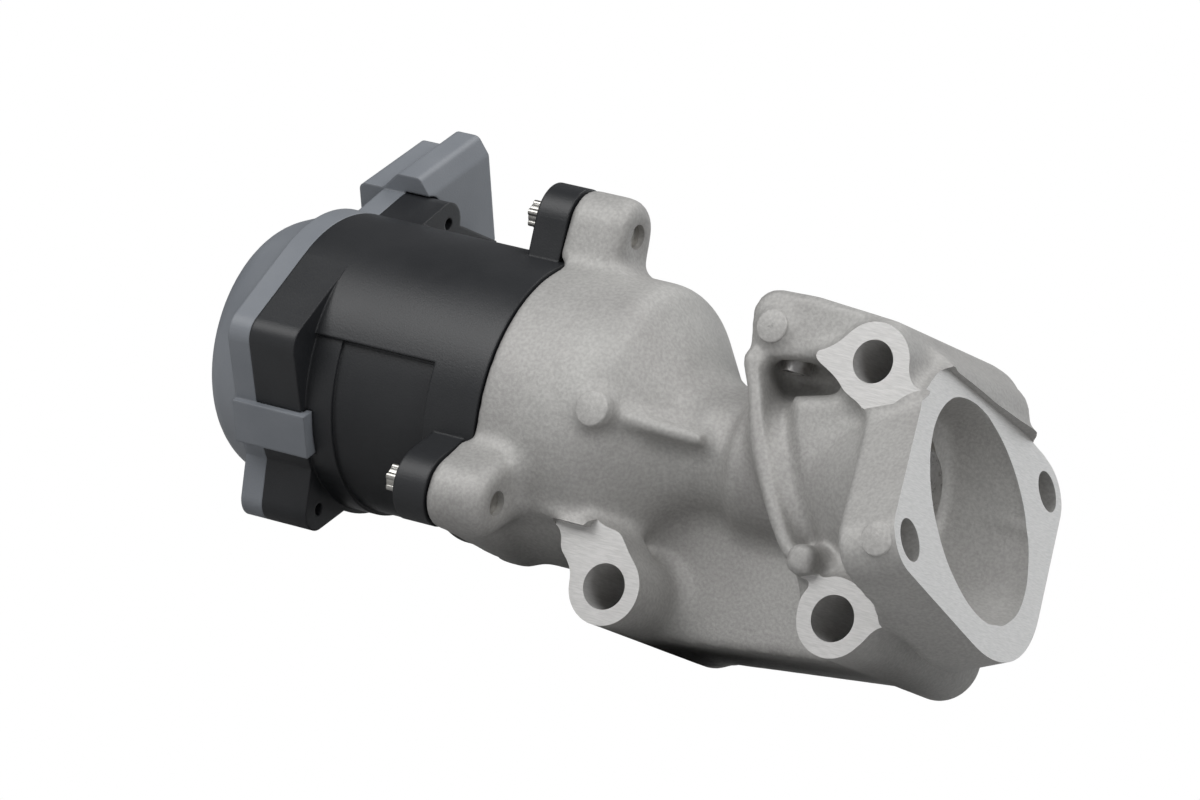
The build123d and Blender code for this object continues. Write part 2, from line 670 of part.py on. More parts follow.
def hall_sensors():
    thick, wide, tall = SENSOR_SIZE
    low = BOARD_BORE + 0.3
    chip = box((BOARD_FRONT_X, BOARD_FRONT_X + thick), (low, low + wide), (-tall / 2, tall / 2))
    return [Rot(index * 360 / SENSOR_COUNT + 90, 0, 0) * chip for index in range(SENSOR_COUNT)]


def flatted(radius, half, start, end):
    return tube(radius, start, end) & box((start, end), (-half, half), (-radius, radius))


def lead_screw():
    flat_start = BULKHEAD_FRONT_X - LIFT - 2.0
    screw = tube(SCREW_RADIUS, SCREW_BACK_X, flat_start)
    return screw + flatted(SCREW_RADIUS, FLAT_HALF, flat_start, STEM_TOP_X)


def screw_guide():
    start = BULKHEAD_FRONT_X
    end = start + GUIDE_THICKNESS
    plate = tube(SPIGOT_RADIUS - SPIGOT_WALL - SEAL_FIT, start, start + GUIDE_PLATE)
    opening = flatted(SCREW_RADIUS + RUNNING_FIT, FLAT_HALF + FLAT_FIT, start - 1, end + 1)
    return plate + tube(GUIDE_HUB_RADIUS, start, end) - opening


def poppet_valve():
    gap = SEAT_LAND * 2**0.5
    throat = SEAT_BORE - 0.6
    cone = (SEAT_CONE_X + throat - SEAT_BORE + gap, SEAT_CONE_X + POPPET_RADIUS - SEAT_BORE + gap)
    end = cone[1] + POPPET_THICKNESS
    outline = [
        (STEM_TOP_X, 0),
        (STEM_TOP_X, STEM_RADIUS),
        (cone[0] - 6.0, STEM_RADIUS),
        (cone[0] - 2.2, STEM_RADIUS + 1.3),
        (cone[0], throat),
        (cone[1], POPPET_RADIUS),
        (end, POPPET_RADIUS),
        (end + 0.8, POPPET_RADIUS - 0.8),
        (end + 0.8, 0),
    ]
    groove_x = RETAINER_X - CLIP_RING
    return turned(outline) - ring(STEM_RADIUS + 1, STEM_RADIUS - 0.5, groove_x, RETAINER_X)


def seat_ring():
    start, end = SEAT_X
    outline = [
        (start, SEAT_BORE),
        (start, SEAT_RADIUS),
        (end, SEAT_RADIUS),
        (end, SEAT_MOUTH),
        (SEAT_CONE_X, SEAT_BORE),
    ]
    return turned(outline)


def stem_guide():
    return ring(GUIDE_BUSH_RADIUS, STEM_RADIUS + RUNNING_FIT, GUIDE_BUSH_START, GUIDE_BUSH_END)


def stem_seal():
    start = CUP_FLOOR_X + 0.2
    outline = [
        (start, STEM_RADIUS + RUNNING_FIT),
        (start, SEAL_RADIUS),
        (GUIDE_BUSH_START - 0.3, SEAL_RADIUS),
        (GUIDE_BUSH_START - 0.3, STEM_RADIUS + 2.2),
        (start + 2.0, STEM_RADIUS + 1.6),
        (start + 1.4, STEM_RADIUS + RUNNING_FIT),
    ]
    return turned(outline)


def deposit_shield():
    end = GUIDE_BUSH_END
    cap = ring(SHIELD_RADIUS, STEM_RADIUS + 0.3, end, end + SHIELD_THICKNESS)
    return cap + ring(SHIELD_RADIUS, GUIDE_BUSH_RADIUS, end - 1.2, end)


def spring_seat():
    return ring(SPRING_MEAN_RADIUS + 2.0, STEM_RADIUS + 1.5, SPRING_END_X, CUP_FLOOR_X)


def spring_retainer():
    disc = ring(RETAINER_RADIUS, STEM_RADIUS, RETAINER_X, SPRING_START_X)
    return disc + ring(SPRING_MEAN_RADIUS - 1.4, STEM_RADIUS, SPRING_START_X, SPRING_START_X + 1.0)


def retainer_clip():
    full = ring(STEM_RADIUS + 2.0, STEM_RADIUS - 0.5, RETAINER_X - CLIP_RING, RETAINER_X)
    return full - box((RETAINER_X - 2, RETAINER_X + 1), (-1.2, 1.2), (0, 9))


def return_spring():
    """Coil whose wire lies just inside its two seats."""
    rise = SPRING_LENGTH - SPRING_WIRE - 0.1
    path = Helix(rise / SPRING_TURNS, rise, SPRING_MEAN_RADIUS)
    start = path @ 0
    wire = Plane(origin=start, z_dir=path % 0) * Circle(SPRING_WIRE / 2)
    coil = sweep(wire, path, is_frenet=True)
    return Pos(SPRING_START_X + SPRING_WIRE / 2 + 0.05, 0, 0) * Rot(0, 90, 0) * coil


def valve_housing():
    body = cast_outside()
    for hollow in cast_hollows():
        body = body.cut(hollow)
    return body


def cast_outside():
    solids = [cup_and_neck(), tube(CHAMBER_RADIUS + CHAMBER_WALL, CHAMBER_X - 3, SEAT_X[1])]
    solids += metal_ears()
    for side in (-1, 1):
        rib = Polygon(*[(x, side * reach) for x, reach in NECK_RIB], align=None)
        solids.append(Pos(0, 0, -NECK_RIB_WIDTH / 2) * extrude(Plane.XY * rib, NECK_RIB_WIDTH, dir=(0, 0, 1)))
    solids += outlet_outside() + mounting_outside() + front_features()
    body = solids[0]
    for solid in solids[1:]:
        body = body.fuse(solid)
    return body


def cup_and_neck():
    return turned(
        [
            (JOINT_X, 0),
            (JOINT_X, BARREL_RADIUS),
            (SHOULDER_X, BARREL_RADIUS),
            SHOULDER_FOOT,
            (NECK_START_X, NECK_RADIUS),
            (CHAMBER_X, NECK_RADIUS),
            (CHAMBER_X, 0),
        ],
        [
            ((SHOULDER_X, BARREL_RADIUS), SHOULDER_ROUNDING),
            (SHOULDER_FOOT, 2.0),
            ((NECK_START_X, NECK_RADIUS), 4.0),
        ],
    )


def metal_ears():
    ears = []
    for angle in EAR_ANGLES:
        ear = plate_x(ear_outline(EAR_FOOT), EAR_FACE_X, METAL_EAR_END)
        ears.append(Rot(angle, 0, 0) * fillet(ear.faces().sort_by(Axis.X)[-1].edges(), EAR_ROUNDING))
    y, z = polar(EAR_REACH, EAR_ANGLES[1])
    chin = plate_x(hull([(y + 2, z, EAR_RADIUS), (*CHIN_CENTRE, EAR_RADIUS)]), EAR_FACE_X, CHIN_X)
    ears.append(fillet(chin.faces().sort_by(Axis.X)[-1].edges(), EAR_ROUNDING))
    relief = tube(BARREL_RADIUS + BARREL_GAP, EAR_FACE_X - 1, JOINT_X)
    return [ear - relief for ear in ears]


def outlet_outside():
    lobes = [
        (
            side * OUTLET_HOLE_REACH * cos(radians(OUTLET_HOLE_ANGLE)),
            side * OUTLET_HOLE_REACH * sin(radians(OUTLET_HOLE_ANGLE)),
            OUTLET_LOBE,
        )
        for side in (-1, 1)
    ]
    outline = hull([(0, 0, OUTLET_RADIUS)] + lobes)
    flange = behind(OUTLET_PLANE, outline, OUTLET_THICKNESS)
    near = OUTLET_PLANE.offset(-OUTLET_THICKNESS + 1) * Circle(OUTLET_NECK)
    far = across_axis(SEAT_X[0] - 8) * Circle(CHAMBER_RADIUS + CHAMBER_WALL + 0.6)
    return [flange, loft([far.faces()[0], near.faces()[0]], ruled=True)]


def mounting_outside():
    top, left, right = (BOSSES[name][:2] for name in ("top", "left", "right"))
    solids = [pole(BOSS_RADIUS, BOSS_FACE_Y, MOUNT_Y, x, z, BOSS_FOOT) for x, z in (top, left, right)]
    web = rounded(Polygon(*WEB, align=None), WEB[1], WEB_CORNER)
    web = rounded(web, WEB[3], WEB_END_CORNER)
    solids.append(plate_y(web, WEB_Y, MOUNT_Y - 0.5))
    x, z = POCKET
    solids.append(box(x, (POCKET_Y, MOUNT_Y - 1), z))
    solids.append(plate_y(hull([(*top, BOSS_RADIUS), (*SHELF_END, BOSS_RADIUS)]), SHELF_Y, MOUNT_Y - 2))
    solids.append(plate_y(hull(LOWER_WALL), LOWER_WALL_Y, MOUNT_Y - 1))
    corners = [(*BOSSES[name][:2], radius) for name, radius in PLATE_CORNERS.items()]
    solids.append(plate_y(hull([*corners, PLATE_SHOULDER]), MOUNT_Y - MOUNT_THICKNESS, MOUNT_Y))
    solids.append(pole(INLET_RADIUS + INLET_WALL, 0, MOUNT_Y - 0.5, INLET_X, 0))
    return solids


def strip(points, width):
    """Outline of a strip of even width that curves through points."""
    left, right = [], []
    for index, (x, z) in enumerate(points):
        before = points[max(index - 1, 0)]
        after = points[min(index + 1, len(points) - 1)]
        length = hypot(after[0] - before[0], after[1] - before[1])
        dx = (after[1] - before[1]) / length * width / 2
        dz = (before[0] - after[0]) / length * width / 2
        left.append((x - dx, z - dz))
        right.append((x + dx, z + dz))
    sides = [Spline(*left), Line(left[-1], right[-1]), Spline(*reversed(right)), Line(right[0], left[0])]
    return make_face(Wire([side.edge() for side in sides]))


def front_features():
    solids = [plate_y(strip(RIB_PATH, RIB_WIDTH), RIB_Y, 4)]
    belly = plate_y(Polygon(*BELLY, align=None), BELLY_Y, 4)
    solids.append(chamfer(belly.faces().sort_by(Axis.Y)[0].edges(), BELLY_ROUNDING))
    for corners in BOSS_TIPS.values():
        solids.append(plate_y(Polygon(*corners, align=None), BOSS_FACE_Y, BOSS_FACE_Y + TIP_DEPTH))
    x, z, radius, front = PADS["rib"]
    right = BOSSES["right"][:2]
    solids.append(plate_y(hull([(x, z, radius + 0.3), (*right, BOSS_RADIUS - 0.4)]), RIB_Y, MOUNT_Y - 1.5))
    for x, z, radius, front in (*PADS.values(), NUB):
        solids.append(pole(radius, front, front + 10, x, z))
    return solids


def cast_hollows():
    """Everything machined or cored out of the casting."""
    start = EAR_FACE_X - 1
    floor_edge = (CUP_FLOOR_X, CUP_FLOOR_RADIUS)
    yield turned(
        [(start, 0), (start, CUP_BORE), (CUP_BORE_END_X, CUP_BORE), floor_edge, (CUP_FLOOR_X, 0)],
        [(floor_edge, CUP_FLOOR_FILLET), ((CUP_BORE_END_X, CUP_BORE), CUP_FLOOR_FILLET * 2)],
    )
    yield tube(SEAL_RADIUS, CUP_FLOOR_X - 1, GUIDE_BUSH_START)
    yield tube(GUIDE_BUSH_RADIUS, CUP_FLOOR_X, CHAMBER_X + 20)
    yield ring(CHAMBER_RADIUS, GUIDE_BOSS_RADIUS, CHAMBER_X, GUIDE_BOSS_END)
    yield tube(CHAMBER_RADIUS, GUIDE_BOSS_END, SEAT_X[0])
    yield tube(SEAT_RADIUS, SEAT_X[0], SEAT_X[1] + 1)
    floor = across_axis(SEAT_X[1]) * Circle(OUTLET_CHAMBER)
    mouth = OUTLET_PLANE.offset(1) * Circle(OUTLET_BORE + 0.25)
    yield loft([floor.faces()[0], mouth.faces()[0]], ruled=True)
    yield pole(INLET_RADIUS, INLET_END_Y, MOUNT_Y + 1, INLET_X, 0)
    for x, z, radius in BOSSES.values():
        yield pole(radius, BOSS_FACE_Y - 1, MOUNT_Y + 1, x, z)
    for side in (-1, 1):
        place = OUTLET_PLANE * Rot(0, 0, OUTLET_HOLE_ANGLE) * Pos(side * OUTLET_HOLE_REACH, 0, 1)
        yield place * Cylinder(OUTLET_HOLE, OUTLET_THICKNESS + 14, align=(*CENTRE, Align.MAX))
    for angle in EAR_ANGLES:
        yield Pos(0, *polar(EAR_REACH, angle)) * tube(EAR_SCREW_RADIUS, EAR_FACE_X - 1, METAL_EAR_END + 1)
    x, y, radius = PLUG
    yield Pos(x, y, PLUG_Z - 1) * Cylinder(radius, PLUG_DEPTH + 1, align=(*CENTRE, Align.MIN))


def gallery_plug():
    x, y, radius = PLUG
    plug = Cylinder(radius, PLUG_DEPTH, align=(*CENTRE, Align.MIN))
    socket = Pos(0, 0, -0.4) * Cylinder(radius * 0.6, 1.2, align=(*CENTRE, Align.MIN))
    return Pos(x, y, PLUG_Z) * (plug - socket)


PIECES = {
    "motor_housing": motor_housing,
    "ear_sleeves": ear_sleeves,
    "ear_screws": ear_screws,
    "end_cover": end_cover,
    "cover_screws": cover_screws,
    "cover_seal": cover_seal,
    "housing_seal": housing_seal,
    "connector_pins": connector_pins,
    "front_bearing_outer": lambda: bearing_outer(FRONT_BEARING_X),
    "front_bearing_inner": lambda: bearing_inner(FRONT_BEARING_X),
    "front_bearing_balls": lambda: bearing_balls(FRONT_BEARING_X),
    "rear_bearing_outer": lambda: bearing_outer(REAR_BEARING_X),
    "rear_bearing_inner": lambda: bearing_inner(REAR_BEARING_X),
    "rear_bearing_balls": lambda: bearing_balls(REAR_BEARING_X),
    "wave_washer": wave_washer,
    "rotor_sleeve": rotor_sleeve,
    "drive_nut": drive_nut,
    "rotor_magnet": rotor_magnet,
    "sensor_magnet": sensor_magnet,
    "stator_core": stator_core,
    "stator_coils": stator_coils,
    "terminal_ring": terminal_ring,
    "circuit_board": circuit_board,
    "hall_sensors": hall_sensors,
    "lead_screw": lead_screw,
    "screw_guide": screw_guide,
    "poppet_valve": poppet_valve,
    "seat_ring": seat_ring,
    "stem_guide": stem_guide,
    "stem_seal": stem_seal,
    "deposit_shield": deposit_shield,
    "spring_seat": spring_seat,
    "spring_retainer": spring_retainer,
    "retainer_clip": retainer_clip,
    "return_spring": return_spring,
    "gallery_plug": gallery_plug,
    "valve_housing": valve_housing,
}


def main():
    os.makedirs("parts", exist_ok=True)
    to_port = Pos(-INLET_X, -MOUNT_Y, 0)
    for name, make in PIECES.items():
        made = make()
        solids = made if isinstance(made, list) else [made]
        shape = Compound(children=[to_port * solid for solid in solids])
        export_step(shape, f"parts/{name}.step")
        print(name, round(shape.volume, 1))


main()
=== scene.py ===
"""Looks of an exhaust gas recirculation valve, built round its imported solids. Lengths are metres."""

import json
from math import cos, pi, radians, sin

import bmesh
import bpy
import numpy as np
from mathutils import Matrix, Vector

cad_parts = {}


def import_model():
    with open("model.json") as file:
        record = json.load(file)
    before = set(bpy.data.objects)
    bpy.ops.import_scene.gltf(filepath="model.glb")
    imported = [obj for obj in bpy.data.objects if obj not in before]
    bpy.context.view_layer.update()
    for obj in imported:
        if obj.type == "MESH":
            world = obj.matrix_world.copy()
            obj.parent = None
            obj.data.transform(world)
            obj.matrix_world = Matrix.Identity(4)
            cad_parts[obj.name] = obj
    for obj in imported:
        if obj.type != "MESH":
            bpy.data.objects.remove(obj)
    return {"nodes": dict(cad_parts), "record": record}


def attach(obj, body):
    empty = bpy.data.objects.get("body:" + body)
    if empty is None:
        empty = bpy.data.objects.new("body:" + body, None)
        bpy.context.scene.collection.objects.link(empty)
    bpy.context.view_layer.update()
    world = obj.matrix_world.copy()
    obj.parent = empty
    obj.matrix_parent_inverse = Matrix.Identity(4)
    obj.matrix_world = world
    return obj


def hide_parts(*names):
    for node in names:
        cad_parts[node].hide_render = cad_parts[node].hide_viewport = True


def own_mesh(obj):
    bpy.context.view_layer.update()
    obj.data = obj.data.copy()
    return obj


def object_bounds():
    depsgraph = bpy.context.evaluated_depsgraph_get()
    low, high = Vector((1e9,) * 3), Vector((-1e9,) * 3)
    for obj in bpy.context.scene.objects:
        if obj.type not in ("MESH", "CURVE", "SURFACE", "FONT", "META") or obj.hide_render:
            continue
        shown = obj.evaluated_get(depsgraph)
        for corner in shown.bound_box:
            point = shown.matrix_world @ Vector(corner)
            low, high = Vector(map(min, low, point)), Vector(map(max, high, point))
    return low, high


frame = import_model()
CAD_LOW, CAD_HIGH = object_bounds()
NODES = frame["nodes"]
MOUNTS = {mount["name"]: mount for mount in frame["record"]["mounts"]}
MM = 0.001

# Camera of the photograph
CAMERA_PLACE = (0.5862, -1.1537, -0.0745)
CAMERA_RIGHT = (0.8457, 0.4613, 0.2683)
CAMERA_UP = (-0.2049, -0.1834, 0.9614)
CAMERA_LENS = 199.44
SENSOR_WIDTH = 36.0

# Casting: where it is, and how its as-cast surface is rounded
JOINT = Vector((-0.0615, -0.029, 0.0))
OUTLET = Vector(MOUNTS["outlet_bolts"]["pos_m"])
OUTLET_AXIS = Vector(MOUNTS["outlet_bolts"]["axis"])
VOXEL = 0.6 * MM
FILLET = 2.0 * MM
SMALL_FILLET = 0.9 * MM
ROUNDING = 0.8 * MM
ALLOWANCE = 3.0 * MM
OVERCUT = 0.012
CUT_REACH = 6.0
SMOOTH_UNDER = 35
STOCK = 0.6
HOLLOW_MARGIN = 1.2
RING_POINTS = 72
TOLERANCE = 0.01 * MM
BOSS_FACE = -20.0
BOSS_BORES = ("mounting_bolt_top", "mounting_bolt_left", "mounting_bolt_right")
EAR_ANGLES = (97.0, 217.0, 337.0)
EAR_REACH = 36.5
EAR_END = 10.4
EAR_HOLE = 2.5
OUTLET_HOLE = 4.1
OUTLET_HOLE_PLACE = (34.0, 10.6)
FLANGE_BACK = -12.0
PLUG = (54.6, -10.0, 3.0)
# x, z, radius and front of each ejector mark
MARKS = (
    (72.5, -17.7, 3.15, -20.0),
    (51.2, 24.1, 3.3, -18.2),
    (24.8, 0.0, 3.5, -29.9),
    (96.1, -11.6, 3.3, -40.6),
)
NUB = (80.4, -4.9, 0.8, -24.0)
MARK_DEPTH = 2.2
# Outlines in x and z that the cutter clears when it faces the bosses
FACED = (
    ((18.5, -21.6), (26.0, -21.6), (27.0, -19.8), (34.0, -19.8), (43.0, -26.0), (43.0, -38.0), (36.0, -43.0),
     (28.0, -43.0), (22.0, -36.0), (18.5, -27.0)),
    ((60.0, 19.5), (69.5, 14.0), (77.3, 12.4), (83.0, 14.6), (86.5, 18.5), (85.5, 25.0), (80.0, 32.0),
     (70.0, 32.0), (62.0, 27.0)),
    ((72.5, -20.7), (79.0, -18.4), (86.5, -19.6), (90.3, -20.6), (92.0, -24.5), (91.0, -31.0), (85.0, -37.0),
     (77.0, -37.0), (71.5, -30.0)),
)


def new_material(name):
    """Empty node material and its shader."""
    made = bpy.data.materials.new(name)
    made.use_nodes = True
    tree = made.node_tree
    tree.nodes.clear()
    output = tree.nodes.new("ShaderNodeOutputMaterial")
    shader = tree.nodes.new("ShaderNodeBsdfPrincipled")
    tree.links.new(shader.outputs["BSDF"], output.inputs["Surface"])
    return made, tree, shader


def noise(tree, scale, detail=3.0, stretch=(1.0, 1.0, 1.0), distortion=0.0):
    """Noise in the piece's own coordinates; scale is cells per metre."""
    place = tree.nodes.new("ShaderNodeTexCoord")
    mapping = tree.nodes.new("ShaderNodeMapping")
    mapping.inputs["Scale"].default_value = stretch
    texture = tree.nodes.new("ShaderNodeTexNoise")
    texture.inputs["Scale"].default_value = scale
    texture.inputs["Detail"].default_value = detail
    texture.inputs["Distortion"].default_value = distortion
    tree.links.new(place.outputs["Object"], mapping.inputs["Vector"])
    tree.links.new(mapping.outputs["Vector"], texture.inputs["Vector"])
    return texture.outputs["Fac"]


def ramp(tree, value, stops):
    """Colour ramp with stops of position and colour."""
    node = tree.nodes.new("ShaderNodeValToRGB")
    tree.links.new(value, node.inputs["Fac"])
    elements = node.color_ramp.elements
    while len(elements) < len(stops):
        elements.new(0.5)
    for element, (position, colour) in zip(elements, stops):
        element.position = position
        element.color = (*colour, 1.0)
    return node.outputs["Color"]


def grey(level):
    return (level, level, level)


def spread(tree, value, low, high):
    """Maps a value of 0 to 1 to another range."""
    node = tree.nodes.new("ShaderNodeMapRange")
    node.inputs["To Min"].default_value = low
    node.inputs["To Max"].default_value = high
    tree.links.new(value, node.inputs["Value"])
    return node.outputs["Result"]


def multiplied(tree, first, second):
    """One colour times another."""
    node = tree.nodes.new("ShaderNodeMix")
    node.data_type = "RGBA"
    node.blend_type = "MULTIPLY"
    node.inputs["Factor"].default_value = 1.0
    tree.links.new(first, node.inputs["A"])
    tree.links.new(second, node.inputs["B"])
    return node.outputs["Result"]


def softened(tree, radius):
    """Normal that rounds the edges of a piece."""
    node = tree.nodes.new("ShaderNodeBevel")
    node.samples = 6
    node.inputs["Radius"].default_value = radius
    return node.outputs["Normal"]


def bumped(tree, shader, layers, radius=0.0):
    """Bump layers of height socket and depth, over softened edges."""
    normal = softened(tree, radius) if radius else None
    for height, depth in layers:
        node = tree.nodes.new("ShaderNodeBump")
        node.inputs["Distance"].default_value = depth
        tree.links.new(height, node.inputs["Height"])
        if normal:
            tree.links.new(normal, node.inputs["Normal"])
        normal = node.outputs["Normal"]
    if normal:
        tree.links.new(normal, shader.inputs["Normal"])


def cast_metal(name="cast_metal", lift=1.0):
    """Aluminium as cast and shot blasted: matt, with fine grain and faint clouds."""
    made, tree, shader = new_material(name)
    clouds = noise(tree, 55, 4)
    grain = noise(tree, 1500, 2)
    pits = noise(tree, 420, 3)
    dark = tuple(lift * value for value in (0.40, 0.39, 0.38))
    light = tuple(lift * value for value in (0.50, 0.495, 0.48))
    tone = ramp(tree, clouds, [(0.25, dark), (0.75, light)])
    speckle = ramp(tree, grain, [(0.35, grey(0.84)), (0.68, grey(1.0))])
    tree.links.new(multiplied(tree, tone, speckle), shader.inputs["Base Color"])
    tree.links.new(spread(tree, clouds, 0.60, 0.72), shader.inputs["Roughness"])
    shader.inputs["Metallic"].default_value = 0.60
    bumped(tree, shader, [(pits, 0.10 * MM), (grain, 0.05 * MM)])
    return made


def machined_metal():
    """Aluminium that a cutter has faced: smoother, with fine lines."""
    made, tree, shader = new_material("machined_metal")
    lines = noise(tree, 500, 3, (1.0, 1.0, 9.0))
    tone = ramp(tree, lines, [(0.3, (0.53, 0.525, 0.515)), (0.7, (0.65, 0.64, 0.63))])
    tree.links.new(tone, shader.inputs["Base Color"])
    tree.links.new(spread(tree, lines, 0.44, 0.54), shader.inputs["Roughness"])
    shader.inputs["Metallic"].default_value = 0.60
    bumped(tree, shader, [(lines, 0.02 * MM)])
    return made


def moulded(name, colour, light, roughness, coat=0.0, radius=0.0006):
    """Moulded plastic with a faint texture and slightly paler wear."""
    made, tree, shader = new_material(name)
    clouds = noise(tree, 70, 4)
    grain = noise(tree, 2600, 2)
    tone = ramp(tree, clouds, [(0.3, colour), (0.72, light)])
    tree.links.new(tone, shader.inputs["Base Color"])
    tree.links.new(spread(tree, clouds, roughness - 0.05, roughness + 0.06), shader.inputs["Roughness"])
    shader.inputs["Coat Weight"].default_value = coat
    bumped(tree, shader, [(grain, 0.03 * MM)], radius)
    return made


def worked_metal(name, dark, light, roughness, stretch=(1.0, 1.0, 1.0), metallic=1.0):
    """Turned, ground or plated metal with fine marks."""
    made, tree, shader = new_material(name)
    marks = noise(tree, 900, 3, stretch)
    clouds = noise(tree, 120, 3)
    tone = multiplied(
        tree,
        ramp(tree, marks, [(0.3, dark), (0.7, light)]),
        ramp(tree, clouds, [(0.3, grey(0.85)), (0.7, grey(1.0))]),
    )
    tree.links.new(tone, shader.inputs["Base Color"])
    tree.links.new(spread(tree, marks, roughness - 0.06, roughness + 0.08), shader.inputs["Roughness"])
    shader.inputs["Metallic"].default_value = metallic
    bumped(tree, shader, [(marks, 0.015 * MM)], 0.0002)
    return made


def rubber():
    made, tree, shader = new_material("rubber")
    grain = noise(tree, 1400, 3)
    tone = ramp(tree, grain, [(0.3, grey(0.018)), (0.7, grey(0.035))])
    tree.links.new(tone, shader.inputs["Base Color"])
    shader.inputs["Roughness"].default_value = 0.75
    bumped(tree, shader, [(grain, 0.03 * MM)])
    return made


def wound_wire():
    """Enamelled copper in layers."""
    made, tree, shader = new_material("wound_wire")
    place = tree.nodes.new("ShaderNodeTexCoord")
    wave = tree.nodes.new("ShaderNodeTexWave")
    wave.inputs["Scale"].default_value = 500
    wave.inputs["Distortion"].default_value = 0.6
    tree.links.new(place.outputs["Object"], wave.inputs["Vector"])
    tone = ramp(tree, wave.outputs["Fac"], [(0.2, (0.22, 0.07, 0.03)), (0.8, (0.62, 0.26, 0.12))])
    tree.links.new(tone, shader.inputs["Base Color"])
    shader.inputs["Metallic"].default_value = 0.8
    shader.inputs["Roughness"].default_value = 0.35
    bumped(tree, shader, [(wave.outputs["Fac"], 0.15 * MM)])
    return made


def board():
    """Lacquered circuit board with faint tracks."""
    made, tree, shader = new_material("board")
    cells = tree.nodes.new("ShaderNodeTexBrick")
    place = tree.nodes.new("ShaderNodeTexCoord")
    cells.inputs["Scale"].default_value = 260
    cells.inputs["Mortar Size"].default_value = 0.06
    cells.inputs["Color1"].default_value = (0.012, 0.11, 0.05, 1)
    cells.inputs["Color2"].default_value = (0.016, 0.13, 0.06, 1)
    cells.inputs["Mortar"].default_value = (0.03, 0.20, 0.09, 1)
    tree.links.new(place.outputs["Object"], cells.inputs["Vector"])
    tree.links.new(cells.outputs["Color"], shader.inputs["Base Color"])
    shader.inputs["Roughness"].default_value = 0.3
    return made


def dress_nodes():
    """Gives every carried-over node its material."""
    black = moulded("black_plastic", (0.008, 0.009, 0.011), (0.015, 0.016, 0.018), 0.44)
    cover = moulded("cover_plastic", (0.165, 0.178, 0.198), (0.195, 0.208, 0.228), 0.45)
    pale = moulded("pale_plastic", (0.58, 0.55, 0.48), (0.66, 0.63, 0.56), 0.5)
    chip = moulded("chip_plastic", (0.012, 0.012, 0.012), (0.02, 0.02, 0.02), 0.5, radius=0.0002)
    red_rubber = moulded("seal_rubber", (0.10, 0.035, 0.02), (0.13, 0.05, 0.03), 0.7, radius=0.0002)
    zinc = worked_metal("zinc_steel", (0.42, 0.41, 0.38), (0.60, 0.59, 0.56), 0.30)
    steel = worked_metal("ground_steel", (0.38, 0.37, 0.36), (0.52, 0.51, 0.50), 0.28, (9.0, 1.0, 1.0))
    seat = worked_metal("seat_steel", (0.36, 0.34, 0.32), (0.47, 0.45, 0.42), 0.34)
    bright = worked_metal("bearing_steel", (0.60, 0.60, 0.61), (0.70, 0.70, 0.71), 0.14)
    spring = worked_metal("spring_steel", (0.16, 0.16, 0.17), (0.26, 0.26, 0.27), 0.35)
    stack = worked_metal("laminated_steel", (0.16, 0.17, 0.18), (0.34, 0.35, 0.36), 0.40, (12.0, 0.3, 0.3))
    magnet = worked_metal("magnet", (0.05, 0.05, 0.055), (0.09, 0.09, 0.095), 0.45, metallic=0.6)
    bronze = worked_metal("bronze", (0.46, 0.27, 0.11), (0.60, 0.38, 0.18), 0.32)
    tin = worked_metal("tinned_brass", (0.62, 0.57, 0.44), (0.74, 0.70, 0.58), 0.22)
    turned = worked_metal("turned_aluminium", (0.40, 0.39, 0.38), (0.62, 0.61, 0.60), 0.30)
    dressed = {
        black: ("motor_housing", "screw_guide"),
        cover: ("end_cover",),
        pale: ("rotor_sleeve", "terminal_ring"),
        chip: ("hall_sensors",),
        red_rubber: ("stem_seal",),
        zinc: ("ear_screws", "cover_screws", "ear_sleeves"),
        steel: ("poppet_valve", "lead_screw", "deposit_shield"),
        seat: ("seat_ring",),
        bright: (
            "front_bearing_outer",
            "front_bearing_inner",
            "front_bearing_balls",
            "rear_bearing_outer",
            "rear_bearing_inner",
            "rear_bearing_balls",
        ),
        spring: ("return_spring", "wave_washer", "retainer_clip", "spring_retainer", "spring_seat"),
        stack: ("stator_core",),
        wound_wire(): ("stator_coils",),
        magnet: ("rotor_magnet", "sensor_magnet"),
        bronze: ("drive_nut", "stem_guide"),
        board(): ("circuit_board",),
        tin: ("connector_pins",),
        rubber(): ("cover_seal", "housing_seal"),
        turned: ("gallery_plug",),
    }
    for made, names in dressed.items():
        for name in names:
            NODES[name].data.materials.clear()
            NODES[name].data.materials.append(made)


def at(x, y, z):
    """Point from millimetres along the motor axis, from the joint of the housings, and across it."""
    return JOINT + Vector((x, y, z)) * MM


def in_outlet(out, side, up):
    """Point from millimetres along the outlet's axis, from its face, and across it."""
    across = Vector((0.0, 1.0, 0.0))
    return OUTLET + (OUTLET_AXIS * out + across * side + OUTLET_AXIS.cross(across) * up) * MM


def ring(centre, normal, radius):
    """Points of a circle; the radius is in millimetres."""
    first = Vector((0.0, 1.0, 0.0)) if abs(normal.y) < 0.5 else Vector((0.0, 0.0, 1.0))
    second = normal.cross(first)
    turns = [2 * pi * index / RING_POINTS for index in range(RING_POINTS)]
    return [centre + (first * cos(turn) + second * sin(turn)) * radius * MM for turn in turns]


def prism(outline, far_outline):
    """Closed shape between two outlines of as many points."""
    count = len(outline)
    sides = [(k, (k + 1) % count, count + (k + 1) % count, count + k) for k in range(count)]
    ends = [tuple(reversed(range(count))), tuple(range(count, 2 * count))]
    return outline + far_outline, sides + ends


def drum(start, end, radius, far_radius=None, far_normal=None):
    """Cylinder or cone between two points."""
    normal = (end - start).normalized()
    return prism(ring(start, normal, radius), ring(end, far_normal or normal, far_radius or radius))


def linked(name, mesh):
    piece = bpy.data.objects.new(name, mesh)
    bpy.context.scene.collection.objects.link(piece)
    return piece


